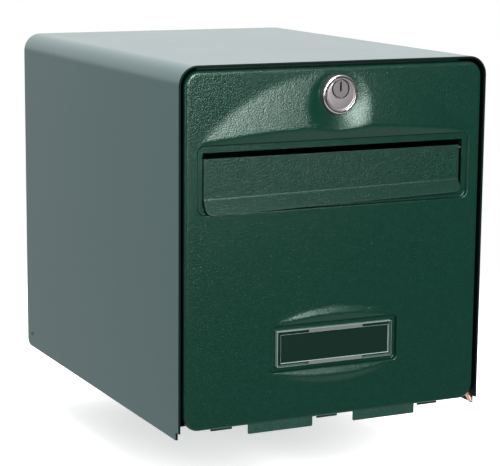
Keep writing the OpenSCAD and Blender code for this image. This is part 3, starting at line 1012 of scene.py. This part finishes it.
def turned(name: str, centre: Vector, profile: Sequence[tuple[float, float]], sides: int,
           close: bool = True) -> Bench:
    """Model a piece turned round Y: a circle of edges drawn out ring by ring, its ends closed or joined.

    Args:
        name: the piece's name.
        centre: a point on its axis in the row frame.
        profile: radius and distance along the axis for each ring, in mm.
        sides: sides of each ring.
        close: fill both ends, or else join the last ring to the first.

    Returns:
        The bench with the piece in edit mode.
    """
    way = Vector(Axis.Y.value)
    bench = Bench(name).ring(centre, Axis.Y, 1.0, sides)
    for index, (radius, along) in enumerate(profile):
        if index:
            bench.extrude(way * NUDGE)

        def lay(co: Vector) -> Vector:
            """Return the ring point at the profile's radius."""
            out = co - centre
            out -= way * out.dot(way)
            return centre + way * along * MM + out.normalized() * radius * MM

        bench.move_picked(lay)
    if close:
        bpy.ops.mesh.edge_face_add()
        first = centre + way * profile[0][1] * MM
        bench.pick_open(lambda co: abs((co - first).dot(way)) < WELD)
        bpy.ops.mesh.edge_face_add()
    else:
        bench.pick_open(lambda co: True)
        bpy.ops.mesh.bridge_edge_loops()
    bench.outward()
    return bench


def rounded(radius: float, edge: float, front: float, steps: int = 5) -> list[tuple[float, float]]:
    """Return a profile's quarter round from a front face out to its rim, as radius and depth."""
    turns = [QUARTER * i / steps for i in range(steps + 1)]
    return [(radius - edge + edge * math.sin(t), front + edge - edge * math.cos(t)) for t in turns]


@dataclass
class CylinderLock:
    """The cylinder lock: bright ring, satin face, raised plug collar with an upright keyway (mm)."""

    z: float = 273.0
    plug_z: float = 277.6
    bezel: float = 15.75
    disc: float = 13.0
    barrel: float = 12.0
    key_half: float = 0.8
    key_reach: float = 4.0
    key_rise: float = 1.8

    def build(self, looks: Finishes) -> None:
        """Model the lock's pieces and dress them."""
        middle = row(0, 0, self.z)
        ring = [(self.disc, -0.5), (self.disc, -3.2), (self.disc + 0.25, -3.62), (self.disc + 0.5, -3.7)]
        ring += rounded(self.bezel, 1.3, -3.7, 8) + [(self.bezel, -0.5)]
        turned("lock_ring", middle, ring, 96, close=False).done(
            Body.DOOR, looks.nickel, "nickel", "lock_bezel", smooth=50.0)
        body = [(self.barrel, 14.6), (self.barrel, -0.4), (self.disc, -0.5), (self.disc, -3.0),
                (self.disc - 0.2, -3.2), (self.disc - 0.9, -3.2), (self.disc - 1.2, -3.05),
                (self.disc - 1.5, -3.2), (0.4, -3.2)]
        face = turned("lock_face", middle, body, 96)
        bore = [(8.4, -4.0), (8.0, -3.05), (7.8, -2.7), (7.8, -0.8), (6.05, -0.8), (6.05, 16.0)]
        cutter = turned("bore_cutter", row(0, 0, self.plug_z), bore, 72)
        carve(face.close(), cutter.close())
        face.done(Body.DOOR, looks.satin, "satin_nickel", "lock_housing", smooth=32.0)
        rotor = turned("lock_rotor", row(0, 0, self.plug_z),
                       [(3.0, 20.6), (3.0, 14.7), (6.0, 14.7), (6.0, -0.85), (7.0, -0.85), (7.0, -2.9),
                        (6.9, -3.15), (6.7, -3.3), (0.4, -3.3)], 72)
        key_z = self.plug_z + self.key_rise
        key = Bench("key_cutter").cube(row(-self.key_half, -5, key_z - self.key_reach),
                                       row(self.key_half, 6.7, key_z + self.key_reach))
        key.soften(0.3 * MM, 2, 30)
        carve(rotor.close(), key.close())
        rotor.done(Body.LOCK, looks.plug, "satin_nickel", "lock_plug", smooth=32.0)


# ---------------------------------------------------------------- name window


@dataclass
class NameWindow:
    """The clear name cover and its two glossy clips (mm)."""

    half: float = 53.3
    half_tall: float = 15.0
    z: float = 67.3
    front: float = -1.2
    back: float = 3.0
    rim: float = 3.2
    step: float = 0.8
    wall: float = 1.0
    clip_half: float = 25.0
    clip_tall: float = 2.6
    clip_thick: float = 0.8
    clip_dip: float = 0.18

    def build(self, looks: Finishes) -> None:
        """Model the cover and both clips and dress them."""
        bench = Bench("name_cover").cube(row(-self.half, self.front, self.z - self.half_tall),
                                         row(self.half, self.back, self.z + self.half_tall))
        middle = row(0, 0, self.z)
        bench.pick_front()
        bpy.ops.mesh.inset(thickness=self.rim * MM)
        bench.extrude(Vector((0, self.step * MM, 0)))
        back_y = row(0, self.back, 0).y
        bench.pick_faces(lambda co: abs(co.y - back_y) < NUDGE)
        bpy.ops.mesh.inset(thickness=self.wall * MM)
        bench.extrude(Vector((0, -(self.back - self.front - self.step - 1.0) * MM, 0)))
        bench.outward()
        bench.pick_edges(lambda co: abs(abs(co.x - middle.x) - self.half * MM) < NUDGE
                         and abs(abs(co.z - middle.z) - self.half_tall * MM) < NUDGE)
        bench.bevel(1.1 * MM, 3)
        bench.soften(0.35 * MM, 3, 50)
        bench.done(Body.DOOR, looks.clear, "clear_plastic", "window_cover", smooth=35.0)
        # The rim's side faces take the light edge material: painted highlight along the cover's outline.
        bench.obj.data.materials.append(looks.clear_edge_highlight)
        for face in bench.obj.data.polygons:
            face.material_index = 0 if abs(face.normal.y) > 0.98 else 1
        for side, node in ((1, "window_clip_upper"), (-1, "window_clip_lower")):
            edge = self.z + side * (self.half_tall - self.rim / 2)
            clip = Bench("name_clip_upper" if side > 0 else "name_clip_lower").cube(
                row(-self.clip_half, self.front - self.clip_thick, edge - self.clip_tall / 2),
                row(self.clip_half, self.front, edge + self.clip_tall / 2))
            clip.pick_front()
            bpy.ops.mesh.inset(thickness=0.55 * MM)
            bpy.ops.transform.translate(value=(0, self.clip_dip * MM, 0))
            clip.outward()
            clip.soften(0.16 * MM, 2, 40)
            clip.done(Body.DOOR, looks.clip, "clip_plastic", node, smooth=35.0)


# ---------------------------------------------------------------- hinge


@dataclass
class Hinge:
    """The coppered rod bent down at its right end, and the door's two hinge leaves (mm)."""

    y: float = 5.0
    z: float = 9.5
    rod: float = 2.0
    left: float = -120.0
    leg_x: float = 134.5
    leg_run: float = 5.6
    lean_out: float = 22.0
    lean_forward: float = 12.0
    bend: float = 3.2
    bend_steps: int = 9
    leaf_middle: float = 48.5
    leaf_width: float = 59.0
    leaf_low: float = -1.0
    leaf_top: float = 30.0
    ring_offset: float = 18.0
    ring_run: float = 15.0
    ring_outer: float = 3.2
    ring_wall: float = 1.14

    def build(self, looks: Finishes) -> None:
        """Model the rod and both leaves and dress them."""
        bench = Bench("hinge_wire").ring(row(self.left, self.y, self.z), Axis.X, self.rod * MM, 28)
        stations = self.stations()
        centre, angle = stations[0]
        for goal, turn in stations[1:]:
            bench.extrude(Vector((NUDGE, 0, 0)))
            swing = Matrix.Rotation(turn - angle, 3, "Y")
            bench.move_picked(lambda co, at=centre, swing=swing, goal=goal: swing @ (co - at) + goal)
            centre, angle = goal, turn
        bpy.ops.mesh.edge_face_add()
        start = row(self.left, 0, 0).x
        bench.pick_open(lambda co: abs(co.x - start) < NUDGE)
        bpy.ops.mesh.edge_face_add()
        bench.outward()
        bench.soften(0.35 * MM, 2, 60)
        bench.done(Body.CASING, looks.copper, "copper_rod", "hinge_rod", smooth=40.0)
        for side, node in ((-1, "hinge_leaf_left"), (1, "hinge_leaf_right")):
            self.leaf(side, node, looks)

    def stations(self) -> list[tuple[Vector, float]]:
        """Return the middles of the rod's rings from its left end to its foot, each with its turn."""
        rings = [(row(x, self.y, self.z), 0.0) for x in (self.left, -60, 0, 60, self.leg_x - self.bend)]
        pivot = row(self.leg_x - self.bend, self.y, self.z - self.bend)
        full = math.radians(90 - self.lean_out)
        for step in range(1, self.bend_steps + 1):
            turn = full * step / self.bend_steps
            rings.append((pivot + Vector((math.sin(turn), 0, math.cos(turn))) * self.bend * MM, turn))
        knee = rings[-1][0]
        way = Vector((math.cos(full), -math.tan(math.radians(self.lean_forward)), -math.sin(full)))
        return rings + [(knee + way * self.leg_run * reach * MM, full) for reach in (0.35, 1.0)]

    def leaf(self, side: int, node: str, looks: Finishes) -> None:
        """Model one leaf: a sheet with rounded lower corners and two rings round the rod."""
        middle = side * self.leaf_middle
        half = self.leaf_width / 2
        plate = Bench(f"{node}_plate").cube(row(middle - half, 1.0, self.leaf_low),
                                            row(middle + half, 2.2, self.leaf_top))
        low = row(0, 0, self.leaf_low).z
        plate.pick_edges(lambda co: abs(abs(co.x - row(middle, 0, 0).x) - half * MM) < NUDGE
                         and abs(co.z - low) < NUDGE)
        plate.bevel(1.2 * MM, 4)
        plate.outward()
        plate.soften(0.3 * MM, 2, 50)
        start = middle - self.ring_run / 2
        rings = [tube(f"{node}_ring_{at + 1}", row(start + at * self.ring_offset, self.y, self.z),
                      self.ring_run * MM, self.ring_outer * MM, self.ring_wall * MM, 28) for at in (-1, 1)]
        plate.obj = join([plate.close()] + rings, f"{node}_plate")
        # The leaves take the lighter tongue coat: painted light.
        plate.done(Body.DOOR, looks.tongue, "green_coat", node, smooth=35.0)


# ---------------------------------------------------------------- carried nodes and studio


def dress_nodes(looks: Finishes) -> None:
    """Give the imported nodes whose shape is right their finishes."""
    # The back panel, floor panel and header rail take the darker inner coat, painted shade inside the box.
    finishes = {
        "back_panel": looks.inner, "floor_panel": looks.inner, "header_rail": looks.inner,
        "casing_rivets": looks.rivet, "flap_rod": looks.zinc, "flap_bracket_left": looks.zinc,
        "flap_bracket_right": looks.zinc, "lock_gasket": looks.rubber, "lock_nut": looks.zinc,
        "lock_cam": looks.zinc, "cam_nut": looks.zinc,
    }
    for node, material in finishes.items():
        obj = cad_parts[node]
        obj.data.materials.clear()
        obj.data.materials.append(material)
        LOG.info("%s: carried over", node)


@dataclass
class Studio:
    """Pale floor, soft light and the camera (metres and degrees)."""

    eye: tuple[float, float, float] = (-0.7077, -1.663, 0.2767)
    yaw: float = 25.87
    pitch: float = 10.27
    roll: float = -0.4775
    lens: float = 132.7
    door_reach: float = 0.055
    fade: tuple[float, float] = (0.30, 0.75)

    def build(self) -> None:
        """Place the floor, the lights and the camera."""
        self.floor()
        self.world()
        self.lamp("front_soft", (0.36, -3.3, 1.15), (0.36, -0.37, 1.15), (1.0, 2.05), 150.0)
        self.lamp("left_card", (-2.3, -1.9, 0.35), (0.0, -0.3, 0.0), (1.1, 1.5), 16.0)
        self.lamp("top_soft", (0.0, 0.1, 1.9), (0.0, -0.05, 0.0), (1.8, 1.8), 26.0)
        self.camera()

    def floor(self) -> None:
        """Lay the pale floor below the lowest reach of the open door."""
        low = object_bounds()[0][2]
        bpy.ops.object.select_all(action="DESELECT")
        bpy.ops.mesh.primitive_plane_add(size=30.0, location=(0, 0, low - self.door_reach))
        floor = bpy.context.object
        floor.name = "studio_floor"
        bpy.ops.object.transform_apply(location=True, rotation=True, scale=True)
        shade = Shade("studio floor")
        cloud = shade.noise(1.5, 2.0)
        shade.put(Base_Color=shade.mix(cloud, (0.92, 0.92, 0.92), (0.95, 0.95, 0.95)), Roughness=0.9,
                  Emission_Color=(0.9, 0.9, 0.9), Emission_Strength=0.55)
        x, y, _ = shade.parts()
        away = ((x * x + y * y) ** 0.5).step(*self.fade)
        blend = shade.value("ShaderNodeMixShader", Fac=away, at_1=Sock(shade, shade.shader.outputs[0]),
                            at_2=shade.value("ShaderNodeBsdfTransparent"))
        shade.feed(shade.tree.nodes["Material Output"].inputs["Surface"], blend)
        floor.data.materials.append(shade.material)
        floor.visible_glossy = False
        floor.visible_diffuse = False
        floor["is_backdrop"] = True

    def world(self) -> None:
        """Light the room: bright behind and above, dimmer from the front."""
        world = bpy.data.worlds.new("studio")
        bpy.context.scene.world = world
        world.use_nodes = True
        board = Board(world.node_tree)
        board.tree.nodes.clear()
        x, y, z = board.parts("Generated")
        back = y.step(-0.45, 0.45)
        low_sky = z.step(-0.06, 0.14)
        up = z.step(0.1, 0.9)
        left = (x * -1.0).step(0.3, 1.0)
        under = (z * -1.0).step(0.28, 0.6)
        level = back * (low_sky * 0.72 + 0.58) + up * 0.55 + left * 0.10 + under * 0.75 + 0.04
        seen = board.value("ShaderNodeLightPath", out="Is Camera Ray")
        shown = board.value("ShaderNodeMixShader", Fac=seen,
                            at_1=board.value("ShaderNodeBackground", Strength=level),
                            at_2=board.value("ShaderNodeBackground", Color=(1.0, 1.0, 1.0), Strength=1.0))
        board.node("ShaderNodeOutputWorld", Surface=shown)

    def lamp(self, name: str, place: Sequence[float], aim: Sequence[float], size: tuple[float, float],
             power: float) -> None:
        """Hang one soft rectangular lamp aimed at a point."""
        data = bpy.data.lights.new(name, "AREA")
        data.shape = "RECTANGLE"
        data.size, data.size_y = size
        data.energy = power
        lamp = bpy.data.objects.new(name, data)
        lamp.visible_camera = False
        bpy.context.scene.collection.objects.link(lamp)
        way = Vector(aim) - Vector(place)
        turn = way.to_track_quat("-Z", "Y").to_matrix().to_4x4()
        lamp.matrix_world = Matrix.Translation(Vector(place)) @ turn

    def camera(self) -> None:
        """Set the camera at its eye point, turned, tipped and rolled."""
        data = bpy.data.cameras.new("camera")
        data.sensor_width = 36.0
        data.lens = self.lens
        data.clip_start = 0.01
        cam = bpy.data.objects.new("camera", data)
        bpy.context.scene.collection.objects.link(cam)
        yaw, pitch, roll = (math.radians(a) for a in (self.yaw, self.pitch, self.roll))
        ahead = Vector((math.sin(yaw) * math.cos(pitch), math.cos(yaw) * math.cos(pitch), -math.sin(pitch)))
        right = Vector((math.cos(yaw), -math.sin(yaw), 0))
        down = ahead.cross(right)
        across = right * math.cos(roll) + down * math.sin(roll)
        drop = down * math.cos(roll) - right * math.sin(roll)
        turn = Matrix((across, -drop, -ahead)).transposed().to_4x4()
        cam.matrix_world = Matrix.Translation(Vector(self.eye)) @ turn
        bpy.context.scene.camera = cam


def main() -> None:
    """Build the mailbox's looks and the studio."""
    logging.basicConfig(level=logging.INFO, format="%(message)s")
    bpy.context.scene.view_settings.view_transform = "Standard"
    looks = Finishes()
    PressedDoor().build(looks)
    MailFlap().build(looks)
    Casing().build(looks)
    CylinderLock().build(looks)
    NameWindow().build(looks)
    Hinge().build(looks)
    dress_nodes(looks)
    Studio().build()


if __name__ == "__main__":
    main()
